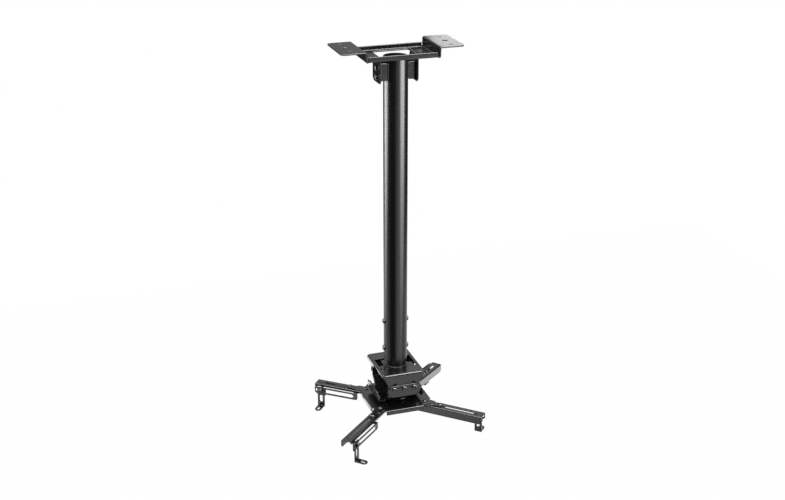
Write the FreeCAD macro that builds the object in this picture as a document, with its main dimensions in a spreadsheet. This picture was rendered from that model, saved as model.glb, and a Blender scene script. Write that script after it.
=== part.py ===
import FreeCAD, Part
import math
import os
import Sketcher

# A projector ceiling mount on a fixed pole.
# Millimetres, +Z up. The origin is the middle of the ceiling hole pattern, on the top face of the two ears,
# so the whole mount hangs below Z = 0. X runs along the long side of the ceiling plate, -Y is the front.

document = FreeCAD.newDocument("projector_mount")

# Driving sizes. Heights are depths below the ceiling face and are given as positive numbers.
sizes = {
    # ceiling plate, one folded sheet
    "plate_wall": 3.0,
    "ear_reach": 152.0,
    "ear_half_width": 62.0,
    "ear_corner": 10.0,
    "tray_half_length": 89.0,
    "tray_half_width": 58.0,
    "tray_depth": 26.0,
    "wall_lean": 0.5,
    "tray_rim_depth": 12.7,
    "rim_relief": 3.5,
    "rim_notch": 7.0,
    "notch_width": 1.9,
    "window_half_length": 46.0,
    "window_half_width": 42.0,
    "window_corner": 4.0,
    "weld_slot_place": 54.0,
    "weld_slot_half": 46.0,
    "weld_slot_width": 4.5,
    "ceiling_hole_x": 124.0,
    "ceiling_hole_y": 40.0,
    "ceiling_hole": 8.5,
    "ceiling_centre_hole": 13.0,
    "bend_inside": 1.5,
    # cheeks and pole head
    "cheek_face": 48.0,
    "cheek_wall": 3.0,
    "cheek_half_width": 30.0,
    "cheek_drop": 88.0,
    "cheek_foot": 26.0,
    "cheek_corner": 8.0,
    "head_pivot_depth": 53.0,
    "head_clamp_drop": 22.0,
    "head_slot_swing": 22.0,
    "lug_wall": 3.0,
    "lug_half_width": 18.0,
    "lug_top": 40.0,
    "lug_bottom": 82.0,
    "lug_corner": 6.0,
    # bolts
    "big_shank": 8.0,
    "big_head": 14.0,
    "big_head_height": 4.4,
    "big_nut_flats": 13.0,
    "big_nut_height": 6.5,
    "small_shank": 6.0,
    "small_head": 11.0,
    "small_head_height": 3.3,
    "small_nut_flats": 10.0,
    "small_nut_height": 5.0,
    "socket_share": 0.5,
    "running_gap": 0.3,
    "pivot_fit": 0.05,
    "bolt_clearance": 0.2,
    "bolt_end": 1.0,
    # pole
    "pole_radius": 30.0,
    "pole_wall": 2.5,
    "pole_top": 27.0,
    "pole_end": 826.0,
    "stub_wall": 2.4,
    "stub_top": 660.0,
    "pole_bolt_upper": 715.0,
    "pole_bolt_lower": 790.0,
    # tilt frame
    "frame_top": 837.0,
    "frame_wall": 3.0,
    "frame_half_length": 56.0,
    "frame_half_width": 70.0,
    "frame_side_rail": 8.5,
    "frame_window_y": 31.0,
    "frame_shoulder_inset": 11.0,
    "frame_cheek_depth": 26.0,
    "frame_cheek_radius": 36.0,
    "frame_cheek_low": 22.0,
    "frame_gusset_height": 23.0,
    "frame_gusset_start": 4.0,
    "frame_flange_height": 12.0,
    "frame_flange_start": 10.0,
    "frame_relief": 4.2,
    "frame_relief_inset": 2.0,
    "foot_plate_x": 44.0,
    "foot_plate_y": 46.0,
    "foot_plate_bore": 22.0,
    # lower tilt cradle
    "tilt_pivot_drop": 40.0,
    "tilt_bolt_spacing": 27.0,
    "tilt_slot_swing": 24.0,
    "ear_half_length": 42.0,
    "ear_top_rise": 16.0,
    "bar_half_length": 43.5,
    "bar_half_height": 16.5,
    "bar_lower": 6.5,
    "bar_wall": 3.0,
    "cradle_wall": 3.0,
    "cradle_half_length": 60.0,
    "cradle_half_width": 42.0,
    "cradle_drop": 45.0,
    "cradle_flare_rise": 21.0,
    "cradle_side_height": 24.0,
    "cradle_side_half": 36.0,
    "cradle_side_step": 5.0,
    "cradle_side_reach": 50.0,
    "cradle_side_hole": 5.0,
    # swivel
    "hub_radius": 38.0,
    "hub_height": 7.0,
    "swivel_shank": 10.0,
    "swivel_head_flats": 16.0,
    "swivel_head_height": 6.4,
    "swivel_nut_height": 8.4,
    "washer_radius": 30.0,
    "washer_height": 2.4,
    "nut_washer_radius": 11.0,
    "nut_washer_height": 2.0,
    # spider plate
    "spider_wall": 3.0,
    "spider_flat": 81.0,
    "spider_side_half": 46.0,
    "spider_front_half": 50.0,
    "spider_flange_height": 12.0,
    "tongue_reach": 134.0,
    "tongue_half_width": 12.0,
    "tongue_step": 108.0,
    "arm_bolt_inner": 84.0,
    "arm_bolt_outer": 128.0,
    # how far the arms are turned from the X axis
    "back_arm_turn": 40.0,
    "front_arm_turn": 44.0,
    # arms, measured along the arm from the swivel axis
    "arm_wall": 2.0,
    "arm_half_width": 14.0,
    "arm_height": 21.0,
    "arm_lip": 6.0,
    "arm_inner_end": 44.0,
    "arm_reach": 240.0,
    "arm_corner": 6.0,
    "arm_slot_width": 7.0,
    "arm_slot_lead": 14.0,
    "arm_slot_tail": 19.5,
    "front_left_out": 25.0,
    "front_right_out": 8.0,
    "back_left_out": -15.0,
    "back_right_out": -20.0,
    # foot rails on the arms
    "rail_drop": 4.0,
    "rail_offset": 20.0,
    "rail_wall": 2.5,
    "rail_height": 19.0,
    "rail_setback": 3.0,
    "rail_length": 123.0,
    "rail_slot_height": 10.0,
    "rail_slot_margin": 12.0,
    "rail_tab_inner": 12.0,
    "rail_tab_outer": 6.0,
    "rail_tab_wall": 2.0,
    # sliders and feet
    "foot_setback": 17.0,
    "slider_half_length": 12.5,
    "slider_wall": 2.3,
    "slider_top_gap": 3.5,
    "slider_height": 23.0,
    "neck_side": 7.6,
    "foot_wall": 2.5,
    "leg_half_width": 9.8,
    "leg_slot_half": 4.2,
    "leg_slot_length": 31.0,
    "leg_slot_rise": 2.2,
    "leg_head": 7.8,
    "leg_corner": 3.0,
    "leg_drop": 48.0,
    "tab_reach": 28.6,
    "tab_half_width": 8.5,
    "tab_hole_width": 7.0,
    "tab_hole_length": 6.0,
    "tab_hole_margin": 9.0,
}

sheet = document.addObject("Spreadsheet::Sheet", "dim")
for row, (alias, value) in enumerate(sizes.items(), start=1):
    sheet.set("A%d" % row, alias)
    sheet.set("B%d" % row, repr(value))
    sheet.setAlias("B%d" % row, alias)
document.recompute()

pieces = []


def size(expression):
    """Value in millimetres of an expression on the sheet."""
    value = sheet.evalExpression(expression)
    return float(getattr(value, "Value", value))


def start(label, turn=None, shift=None):
    """A new body for one piece, which expressions turn about Z and then shift along its own X."""
    body = document.addObject("PartDesign::Body", label)
    body.Label = label
    body.Placement = FreeCAD.Placement()
    if turn:
        turned = FreeCAD.Rotation(FreeCAD.Vector(0, 0, 1), size(turn))
        body.Placement = FreeCAD.Placement(FreeCAD.Vector(), turned)
        body.setExpression(".Placement.Rotation.Angle", "%s * 1 deg" % turn)
        body.setExpression(".Placement.Base.x", "(%s) * cos(%s * 1 deg)" % (shift, turn))
        body.setExpression(".Placement.Base.y", "(%s) * sin(%s * 1 deg)" % (shift, turn))
    pieces.append(body)
    return body


def sketch(body, plane, offset="0"):
    """A sketch on one of the body's own planes, moved along the plane's normal by an expression."""
    drawing = body.newObject("Sketcher::SketchObject", "drawing")
    base = [f for f in body.Origin.OriginFeatures if f.Role == plane + "_Plane"][0]
    drawing.AttachmentSupport = [(base, "")]
    drawing.MapMode = "FlatFace"
    if offset != "0":
        drawing.setExpression(".AttachmentOffset.Base.z", offset)
    return drawing


def hold(drawing, geometry, point, x, y):
    """Hold one point of a sketch at the place that two expressions give."""
    for kind, axis, expression in (("DistanceX", -2, x), ("DistanceY", -1, y)):
        if expression is None:
            continue
        if expression == "0":
            drawing.addConstraint(Sketcher.Constraint("PointOnObject", geometry, point, axis))
            continue
        value = size(expression)
        index = drawing.addConstraint(Sketcher.Constraint(kind, -1, 1, geometry, point, value))
        drawing.setExpression("Constraints[%d]" % index, expression)


def outline(drawing, points):
    """A closed outline. A point is (x, y), or (x, y, centre x, centre y, turn) where an arc leaves it.
    The turn is +1 for an arc that runs anticlockwise and -1 for one that runs clockwise."""
    corners = [FreeCAD.Vector(size(p[0]), size(p[1]), 0) for p in points]
    first = drawing.GeometryCount
    count = len(points)
    ends = []
    for i, p in enumerate(points):
        here, there = corners[i], corners[(i + 1) % count]
        if len(p) == 2:
            drawing.addGeometry(Part.LineSegment(here, there), False)
            ends.append((1, 2))
            continue
        centre = FreeCAD.Vector(size(p[2]), size(p[3]), 0)
        radius = (here - centre).Length
        angles = [math.atan2(q.y - centre.y, q.x - centre.x) for q in (here, there)]
        if p[4] < 0:
            angles.reverse()
        circle = Part.Circle(centre, FreeCAD.Vector(0, 0, 1), radius)
        drawing.addGeometry(Part.ArcOfCircle(circle, angles[0], angles[1]), False)
        ends.append((1, 2) if p[4] > 0 else (2, 1))
    for i in range(count):
        j = (i + 1) % count
        drawing.addConstraint(Sketcher.Constraint("Coincident", first + i, ends[i][1], first + j, ends[j][0]))
    for i, p in enumerate(points):
        hold(drawing, first + i, ends[i][0], p[0], p[1])
        if len(p) > 2:
            flat = abs(corners[i].y - corners[(i + 1) % count].y) < abs(corners[i].x - corners[(i + 1) % count].x)
            hold(drawing, first + i, 3, None if flat else p[2], p[3] if flat else None)


def circle(drawing, x, y, diameter):
    """A round hole or disc."""
    centre = FreeCAD.Vector(size(x), size(y), 0)
    drawing.addGeometry(Part.Circle(centre, FreeCAD.Vector(0, 0, 1), size(diameter) / 2), False)
    index = drawing.GeometryCount - 1
    hold(drawing, index, 3, x, y)
    number = drawing.addConstraint(Sketcher.Constraint("Diameter", index, size(diameter)))
    drawing.setExpression("Constraints[%d]" % number, diameter)


def rectangle(drawing, x0, x1, y0, y1):
    """A rectangle between two expressions each way."""
    outline(drawing, [(x0, y0), (x1, y0), (x1, y1), (x0, y1)])


def slot(drawing, x0, x1, y, half):
    """A slot along the sketch's x, between the centres of its two round ends."""
    low, high = "(%s) - (%s)" % (y, half), "(%s) + (%s)" % (y, half)
    outline(drawing, [(x0, low), (x1, low, x1, y, 1), (x1, high), (x0, high, x0, y, 1)])


def upright_slot(drawing, x, y0, y1, half):
    """A slot along the sketch's y."""
    left, right = "(%s) - (%s)" % (x, half), "(%s) + (%s)" % (x, half)
    outline(drawing, [(right, y0), (right, y1, x, y1, 1), (left, y1), (left, y0, x, y0, 1)])


def arc_slot(drawing, x, y, radius, middle, swing, half):
    """A slot along an arc about (x, y). Its middle is at an angle in degrees, and it swings as far each way."""
    def at(reach, angle):
        return ("(%s) + (%s) * cos((%s) * 1 deg)" % (x, reach, angle),
                "(%s) + (%s) * sin((%s) * 1 deg)" % (y, reach, angle))
    inner, outer = "%s - %s" % (radius, half), "%s + %s" % (radius, half)
    low, high = "%s - %s" % (middle, swing), "%s + %s" % (middle, swing)
    outline(drawing, [at(outer, low) + (x, y, 1), at(outer, high) + at(radius, high) + (1,),
                      at(inner, high) + (x, y, -1), at(inner, low) + at(radius, low) + (1,)])


def pad(body, drawing, length, midplane=False, backwards=False):
    """Thicken a sketch by an expression."""
    feature = body.newObject("PartDesign::Pad", "pad")
    feature.Profile = drawing
    feature.setExpression("Length", length)
    feature.Midplane = midplane
    feature.Reversed = backwards
    document.recompute()
    return feature


def pocket(body, drawing, length=None):
    """Cut a sketch right through both ways, or to a length each side of its plane."""
    before = body.Shape.Volume
    feature = body.newObject("PartDesign::Pocket", "pocket")
    feature.Profile = drawing
    feature.Midplane = True
    if length is None:
        feature.Type = "ThroughAll"
    else:
        feature.setExpression("Length", length)
    document.recompute()
    if body.Shape.Volume >= before - 1e-6:
        raise RuntimeError("a pocket cut nothing in " + body.Label)
    return feature


def near(a, b):
    return abs(a - b) < 0.02


def fillet(body, radius, chosen, kind="Fillet"):
    """Round, or chamfer, the straight edges of a body that a test on an edge's middle and direction picks."""
    names = []
    for number, edge in enumerate(body.Shape.Edges, start=1):
        if len(edge.Vertexes) != 2 or not isinstance(edge.Curve, Part.Line):
            continue
        a, b = (v.Point for v in edge.Vertexes)
        local = body.Placement.inverse()
        a, b = local.multVec(a), local.multVec(b)
        if chosen((a + b) * 0.5, (b - a).normalize()):
            names.append("Edge%d" % number)
    if not names:
        raise RuntimeError("no edge found to round in " + body.Label)
    base = body.Tip
    feature = body.newObject("PartDesign::" + kind, kind.lower())
    feature.Base = (base, names)
    feature.setExpression("Radius" if kind == "Fillet" else "Size", radius)
    document.recompute()
    return feature


def button_bolt(head, head_height, shank, length):
    """A button-head bolt along +Z, its head above Z = 0 and its shank below."""
    radius, neck = head / 2, shank / 2
    start_point = FreeCAD.Vector(neck, 0, -length)
    shoulder = FreeCAD.Vector(neck, 0, 0)
    rim = FreeCAD.Vector(radius, 0, 0)
    rim_top = FreeCAD.Vector(radius, 0, head_height * 0.2)
    crown = FreeCAD.Vector(radius * 0.55, 0, head_height)
    bulge = FreeCAD.Vector(radius * 0.86, 0, head_height * 0.75)
    socket = size("dim.socket_share")
    wire = Part.Wire([
        Part.LineSegment(FreeCAD.Vector(0, 0, -length), start_point).toShape(),
        Part.LineSegment(start_point, shoulder).toShape(),
        Part.LineSegment(shoulder, rim).toShape(),
        Part.LineSegment(rim, rim_top).toShape(),
        Part.Arc(rim_top, bulge, crown).toShape(),
        Part.LineSegment(crown, FreeCAD.Vector(0, 0, head_height)).toShape(),
        Part.LineSegment(FreeCAD.Vector(0, 0, head_height), FreeCAD.Vector(0, 0, -length)).toShape()])
    bolt = Part.Face(wire).revolve(FreeCAD.Vector(), FreeCAD.Vector(0, 0, 1), 360)
    key = hexagon(radius * 2 * 0.4, head_height * socket)
    key.translate(FreeCAD.Vector(0, 0, head_height * (1 - socket)))
    return bolt.cut(key)


def hexagon(flats, height):
    """A six-sided prism on Z = 0, sized across its flats."""
    reach = flats / math.sqrt(3)
    corners = [FreeCAD.Vector(reach * math.cos(math.radians(60 * i)), reach * math.sin(math.radians(60 * i)), 0)
               for i in range(7)]
    return Part.Face(Part.makePolygon(corners)).extrude(FreeCAD.Vector(0, 0, height))


def nut(flats, height, bore):
    """A hexagon nut on Z = 0 with its outer corners turned off and a plain bore."""
    body = hexagon(flats, height)
    reach = flats / math.sqrt(3)
    turned_off = Part.makeCone(reach - 0.4 + height, reach - 0.4, height)
    hole = Part.makeCylinder(bore / 2, height)
    return body.common(turned_off).cut(hole)


def aim(shape, point, direction):
    """Move a copy of a shape so that its Z = 0 point is at a point and its +Z runs along a direction."""
    copy = shape.copy()
    copy.Placement = FreeCAD.Placement(point, FreeCAD.Rotation(FreeCAD.Vector(0, 0, 1), direction))
    return copy


def group(label, solids, turn=0.0, shift=0.0):
    """Several like fasteners as one named piece, turned about Z and then shifted along its own X."""
    feature = document.addObject("Part::Feature", label)
    feature.Label = label
    feature.Shape = Part.makeCompound(solids)
    along = FreeCAD.Vector(math.cos(math.radians(turn)), math.sin(math.radians(turn)), 0) * shift
    feature.Placement = FreeCAD.Placement(along, FreeCAD.Rotation(FreeCAD.Vector(0, 0, 1), turn))
    pieces.append(feature)
    return feature


def vector(x, y, z):
    return FreeCAD.Vector(x, y, z)


# Places that several pieces share, as expressions on the sheet.
trayTop = "-dim.tray_depth + dim.plate_wall"
headPivot = "-dim.head_pivot_depth"
lugFace = "(dim.cheek_face - dim.cheek_wall - dim.running_gap)"
bigHole = "dim.big_shank + 2 * dim.bolt_clearance"
pivotHole = "dim.big_shank + 2 * dim.pivot_fit"
bigSlotHalf = "(dim.big_shank / 2 + dim.running_gap)"
tiltPivot = "-(dim.frame_top + dim.tilt_pivot_drop)"
frameWindow = "(dim.frame_half_length - dim.frame_side_rail)"
frameShoulder = "(dim.frame_half_length - dim.frame_shoulder_inset)"
earFace = "(dim.frame_half_width - dim.frame_wall - dim.running_gap)"
barFace = "(dim.frame_half_width + dim.running_gap)"
cradleFloor = "-(dim.frame_top + dim.tilt_pivot_drop + dim.cradle_drop)"
spiderTop = "(%s - dim.hub_height - dim.washer_height - dim.running_gap)" % cradleFloor
armTop = "(%s - dim.spider_wall - dim.running_gap)" % spiderTop
railTop = "(%s - dim.rail_drop)" % armTop
footBolt = "(%s - dim.rail_height / 2)" % railTop
armSlotInner = "(dim.arm_inner_end + dim.arm_slot_lead)"
armSlotOuter = "(dim.arm_reach - dim.arm_slot_tail)"
railOuter = "(dim.arm_reach - dim.rail_setback)"
railInner = "(%s - dim.rail_length)" % railOuter
footPlace = "(%s - dim.foot_setback)" % railOuter
railFace = "(dim.rail_offset + dim.rail_wall)"
legFace = "(dim.rail_offset - dim.running_gap)"
sliderFace = "(%s - dim.foot_wall - dim.running_gap)" % legFace

# How far each arm is turned about the swivel axis, in degrees.
armTurns = {"back_right": "dim.back_arm_turn", "back_left": "(180 - dim.back_arm_turn)",
            "front_left": "(180 + dim.front_arm_turn)", "front_right": "(360 - dim.front_arm_turn)"}


def ceiling_plate():
    """The ceiling plate: a shallow tray whose two ends fold up into ears, cut and folded from one sheet."""
    body = start("ceiling_plate")
    section = sketch(body, "XZ")
    mitre = "dim.plate_wall * tan(atan((dim.tray_depth - dim.plate_wall) / dim.wall_lean) / 2)"
    foot, floor = "dim.tray_half_length + " + mitre, "-dim.tray_depth"
    top = "dim.tray_half_length + dim.wall_lean"
    bend = "%s + %s" % (top, mitre)
    right = [(foot, floor), (bend, "-dim.plate_wall"), ("dim.ear_reach", "-dim.plate_wall"),
             ("dim.ear_reach", "0"), (top, "0"), ("dim.tray_half_length", trayTop)]
    left = [("-(%s)" % x, z) for x, z in reversed(right)]
    outline(section, right + left)
    pad(body, section, "2 * dim.ear_half_width", midplane=True)
    sides = sketch(body, "XY")
    reach = "dim.tray_half_length - dim.rim_relief"
    for sign in ("", "-"):
        edge, notch = sign + "dim.tray_half_width", sign + "(dim.tray_half_width - dim.rim_notch)"
        beyond, end = sign + "(dim.ear_half_width + 1)", "(%s + dim.notch_width)" % reach
        outline(sides, [("-" + end, beyond), ("-" + end, notch), ("-(%s)" % reach, notch),
                        ("-(%s)" % reach, edge), (reach, edge), (reach, notch), (end, notch), (end, beyond)])
    pocket(body, sides)
    for sign in (1, -1):
        rim = sketch(body, "XY", "-dim.tray_depth")
        rectangle(rim, "-(%s)" % reach, reach, "%d * dim.tray_half_width" % sign,
                  "%d * (dim.tray_half_width - dim.plate_wall)" % sign)
        pad(body, rim, "dim.tray_depth - dim.tray_rim_depth")
    openings = sketch(body, "XY")
    rectangle(openings, "-dim.window_half_length", "dim.window_half_length",
              "-dim.window_half_width", "dim.window_half_width")
    upright_slot(openings, "dim.weld_slot_place", "-dim.weld_slot_half", "dim.weld_slot_half",
                 "dim.weld_slot_width / 2")
    for x in ("dim.ceiling_hole_x", "-dim.ceiling_hole_x"):
        circle(openings, x, "0", "dim.ceiling_centre_hole")
        for y in ("dim.ceiling_hole_y", "-dim.ceiling_hole_y"):
            circle(openings, x, y, "dim.ceiling_hole")
    pocket(body, openings)
    reachX, halfY = size("dim.ear_reach"), size("dim.ear_half_width")
    fillet(body, "dim.ear_corner", lambda m, d: near(abs(d.z), 1) and near(abs(m.x), reachX)
           and near(abs(m.y), halfY))
    winX, winY = size("dim.window_half_length"), size("dim.window_half_width")
    fillet(body, "dim.window_corner", lambda m, d: near(abs(d.z), 1) and near(abs(m.x), winX)
           and near(abs(m.y), winY))
    outer = [(size(bend), -size("dim.plate_wall")), (size("dim.tray_half_length"), size(trayTop))]
    fillet(body, "dim.bend_inside", lambda m, d: near(abs(d.y), 1)
           and any(near(abs(m.x), x) and near(m.z, z) for x, z in outer))
    wide = [(size(top), 0.0), (size(foot), size(floor))]
    fillet(body, "dim.bend_inside + dim.plate_wall - 0.1", lambda m, d: near(abs(d.y), 1)
           and any(near(abs(m.x), x) and near(m.z, z) for x, z in wide))
    edge, low = size("dim.tray_half_width"), -size("dim.tray_depth")
    fillet(body, "dim.bend_inside + dim.plate_wall - 0.5", lambda m, d: near(abs(d.x), 1)
           and near(abs(m.y), edge) and near(m.z, low) and abs(m.x) < 1)


def cheek(label, sign):
    """One of the two angle cheeks welded under the tray, with a pivot hole and an arc slot below it."""
    body = start(label)
    section = sketch(body, "XZ")
    face, inside = "%d * dim.cheek_face" % sign, "%d * (dim.cheek_face - dim.cheek_wall)" % sign
    toe = "%d * (dim.cheek_face + dim.cheek_foot)" % sign
    under = "-dim.tray_depth - dim.cheek_wall"
    outline(section, [(inside, "-dim.tray_depth"), (inside, "-dim.cheek_drop"), (face, "-dim.cheek_drop"),
                      (face, under), (toe, under), (toe, "-dim.tray_depth")])
    pad(body, section, "2 * dim.cheek_half_width", midplane=True)
    holes = sketch(body, "YZ", "%d * (dim.cheek_face - dim.cheek_wall / 2)" % sign)
    circle(holes, "0", headPivot, pivotHole)
    arc_slot(holes, "0", headPivot, "dim.head_clamp_drop", "-90", "dim.head_slot_swing", bigSlotHalf)
    pocket(body, holes, "2 * dim.cheek_wall")
    wide, low = size("dim.cheek_half_width"), -size("dim.cheek_drop")
    fillet(body, "dim.cheek_corner", lambda m, d: near(abs(d.x), 1) and near(abs(m.y), wide) and near(m.z, low),
           kind="Chamfer")
    insideX, tray = size("dim.cheek_face - dim.cheek_wall"), -size("dim.tray_depth")
    fillet(body, "dim.cheek_wall + 0.5", lambda m, d: near(abs(d.y), 1) and near(abs(m.x), insideX)
           and near(m.z, tray))


def head_lug(label, sign):
    """A channel welded to the side of the pole, its web against a cheek and its two flanges cut to the pole."""
    body = start(label)
    section = sketch(body, "XY", "-dim.lug_bottom")
    web, inner = "%d * %s" % (sign, lugFace), "%d * (%s - dim.lug_wall)" % (sign, lugFace)
    root = "%d * dim.pole_radius / 2" % sign
    half, clear = "dim.lug_half_width", "(dim.lug_half_width - dim.lug_wall)"
    outline(section, [(web, "-" + half), (web, half), (root, half), (root, clear), (inner, clear),
                      (inner, "-" + clear), (root, "-" + clear), (root, "-" + half)])
    pad(body, section, "dim.lug_bottom - dim.lug_top")
    seat = sketch(body, "XY")
    circle(seat, "0", "0", "2 * dim.pole_radius")
    pocket(body, seat)
    corners = sketch(body, "XZ")
    tip = "%d * sqrt(dim.pole_radius ^ 2 - dim.lug_half_width ^ 2)" % sign
    back = "%s + %d * dim.lug_corner" % (tip, sign)
    for level, way in (("-dim.lug_top", 1), ("-dim.lug_bottom", -1)):
        inside = "%s - %d * dim.lug_corner" % (level, way)
        outline(corners, [("0", level), ("0", inside), (tip, inside, back, inside, -sign * way), (back, level)])
    pocket(body, corners)
    holes = sketch(body, "YZ", "%d * (%s - dim.lug_wall / 2)" % (sign, lugFace))
    circle(holes, "0", headPivot, bigHole)
    circle(holes, "0", headPivot + " - dim.head_clamp_drop", bigHole)
    pocket(body, holes, "2 * dim.lug_wall")
    face, wide = size(lugFace), size(half)
    fillet(body, "dim.lug_wall", lambda m, d: near(abs(d.z), 1) and near(abs(m.x), face)
           and near(abs(m.y), wide))


def tube(label, radius, wall, top, bottom):
    """A round tube with two pairs of bolt holes through its sides."""
    body = start(label)
    ring = sketch(body, "XY", bottom)
    circle(ring, "0", "0", "2 * (%s)" % radius)
    circle(ring, "0", "0", "2 * (%s - %s)" % (radius, wall))
    pad(body, ring, "(%s) - (%s)" % (top, bottom))
    holes = sketch(body, "YZ")
    for depth in ("dim.pole_bolt_upper", "dim.pole_bolt_lower"):
        circle(holes, "0", "-" + depth, bigHole)
    pocket(body, holes)


def tilt_frame():
    """The frame at the foot of the pole: a plate with a window, a cheek front and back and folded side walls."""
    body = start("tilt_frame")
    top = sketch(body, "XY", "-dim.frame_top")
    rectangle(top, "-dim.frame_half_length", "dim.frame_half_length", "-dim.frame_half_width",
              "dim.frame_half_width")
    rectangle(top, "-" + frameWindow, frameWindow, "-dim.frame_window_y", "dim.frame_window_y")
    pad(body, top, "dim.frame_wall", backwards=True)
    shoulder = "-dim.frame_top - dim.frame_cheek_depth"
    for sign in (1, -1):
        side = sketch(body, "XZ", "%d * (dim.frame_half_width - dim.frame_wall / 2)" % -sign)
        end = "sqrt(dim.frame_cheek_radius ^ 2 - dim.frame_cheek_low ^ 2)"
        low = tiltPivot + " - dim.frame_cheek_low"
        outline(side, [("-dim.frame_half_length", "-dim.frame_top"), ("-" + frameShoulder, shoulder),
                       ("-dim.frame_cheek_radius", tiltPivot, "0", tiltPivot, 1), ("-" + end, low),
                       (end, low, "0", tiltPivot, 1), ("dim.frame_cheek_radius", tiltPivot),
                       (frameShoulder, shoulder), ("dim.frame_half_length", "-dim.frame_top")])
        circle(side, "0", tiltPivot, pivotHole)
        for middle in ("0", "180"):
            arc_slot(side, "0", tiltPivot, "dim.tilt_bolt_spacing", middle, "dim.tilt_slot_swing", bigSlotHalf)
        pad(body, side, "dim.frame_wall", midplane=True)
    slope = "dim.frame_gusset_height * dim.frame_shoulder_inset / dim.frame_cheek_depth"
    for sign in (1, -1):
        def at(expression):
            return "%d * (%s)" % (sign, expression)
        middle = "(dim.frame_half_width - dim.frame_wall + dim.frame_gusset_start) / 2 - dim.frame_gusset_start"
        gusset = sketch(body, "XZ", at(middle))
        foot = "dim.frame_half_length - %s" % slope
        low = "-dim.frame_top - dim.frame_gusset_height"
        outline(gusset, [(at("-dim.frame_half_length"), "-dim.frame_top"), (at("-(%s)" % foot), low),
                         (at("-(%s - dim.frame_wall)" % foot), low),
                         (at("-(dim.frame_half_length - dim.frame_wall)"), "-dim.frame_top")])
        pad(body, gusset, "dim.frame_half_width - dim.frame_wall + dim.frame_gusset_start", midplane=True)
        flange = sketch(body, "XY", "-dim.frame_top - dim.frame_flange_height")
        rectangle(flange, at("-dim.frame_half_length"), at("-(dim.frame_half_length - dim.frame_wall)"),
                  at("dim.frame_flange_start"), at("dim.frame_half_width - dim.frame_wall"))
        pad(body, flange, "dim.frame_flange_height")
    reliefs = sketch(body, "XY", "-dim.frame_top")
    for x in ("", "-"):
        for y in ("", "-"):
            circle(reliefs, x + "(dim.frame_half_length - dim.frame_relief_inset)",
                   y + "(dim.frame_half_width - dim.frame_relief_inset)", "2 * dim.frame_relief")
    pocket(body, reliefs, "2 * (dim.bend_inside + dim.frame_wall + 0.1)")
    wide, long, high = size("dim.frame_half_width"), size("dim.frame_half_length"), -size("dim.frame_top")
    fillet(body, "dim.bend_inside + dim.frame_wall", lambda m, d: near(abs(d.x), 1) and near(abs(m.y), wide)
           and near(m.z, high))
    fillet(body, "dim.frame_wall - 0.1", lambda m, d: near(abs(d.y), 1) and near(abs(m.x), long)
           and near(m.z, high))


def foot_plate():
    """The T-shaped plate welded under the frame, which carries the inner tube."""
    body = start("pole_foot_plate")
    shape = sketch(body, "XY", "-dim.frame_top - dim.frame_wall")
    neck = "dim.pole_radius"
    outline(shape, [("-dim.foot_plate_x", "-dim.foot_plate_y"), ("dim.foot_plate_x", "-dim.foot_plate_y"),
                    ("dim.foot_plate_x", "-dim.frame_wall"), (neck, "-dim.frame_wall"),
                    (neck, "dim.foot_plate_y"), ("-" + neck, "dim.foot_plate_y"),
                    ("-" + neck, "-dim.frame_wall"), ("-dim.foot_plate_x", "-dim.frame_wall")])
    circle(shape, "0", "0", "2 * dim.foot_plate_bore")
    pad(body, shape, "dim.frame_wall", backwards=True)


def tilt_cradle():
    """The cradle: a floor with two side walls, and an ear front and back that flares out to the frame's cheeks."""
    body = start("tilt_cradle")
    floor = sketch(body, "XY", cradleFloor)
    rectangle(floor, "-dim.cradle_half_length", "dim.cradle_half_length", "-dim.cradle_half_width",
              "dim.cradle_half_width")
    circle(floor, "0", "0", "dim.swivel_shank + 2 * dim.bolt_clearance")
    pad(body, floor, "dim.cradle_wall")
    top = cradleFloor + " + dim.cradle_side_height"
    step = top + " - dim.cradle_side_step"
    half, reach, edge = "dim.cradle_side_half", "dim.cradle_side_reach", "dim.cradle_half_width"
    right = [(edge, cradleFloor), (reach, cradleFloor + " + dim.cradle_flare_rise / 2"), (reach, step),
             (half, step), (half, top)]
    for sign in (1, -1):
        side = sketch(body, "YZ", "%d * (dim.cradle_half_length - dim.cradle_wall / 2)" % sign)
        outline(side, right + [("-" + y, z) for y, z in reversed(right)])
        circle(side, "0", cradleFloor + " + dim.cradle_side_height / 2", "dim.cradle_side_hole")
        pad(body, side, "dim.cradle_wall", midplane=True)
    high = tiltPivot + " + dim.ear_top_rise"
    flare = cradleFloor + " + dim.cradle_flare_rise"
    for sign in (1, -1):
        ear = sketch(body, "YZ")
        outer, inner = "%d * %s" % (sign, earFace), "%d * (%s - dim.cradle_wall)" % (sign, earFace)
        foot = "%d * dim.cradle_half_width" % sign
        toe = "%d * (dim.cradle_half_width - dim.cradle_wall)" % sign
        outline(ear, [(foot, cradleFloor), (outer, flare), (outer, high), (inner, high),
                      (inner, flare + " + dim.cradle_wall / 2"), (toe, cradleFloor + " + dim.cradle_wall"),
                      (toe, cradleFloor)])
        pad(body, ear, "2 * dim.ear_half_length", midplane=True)
    bolts = sketch(body, "XZ")
    for x in ("0", "dim.tilt_bolt_spacing", "-dim.tilt_bolt_spacing"):
        circle(bolts, x, tiltPivot, bigHole)
    pocket(body, bolts)
    wide, tall = size("dim.ear_half_length"), size(high)
    fillet(body, "dim.ear_top_rise - 2", lambda m, d: near(abs(d.y), 1) and near(abs(m.x), wide)
           and near(m.z, tall))
    side, low = size("dim.cradle_half_length"), size(cradleFloor)
    fillet(body, "dim.cradle_wall - 0.1", lambda m, d: near(abs(d.y), 1) and near(abs(m.x), side)
           and near(m.z, low))


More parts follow.
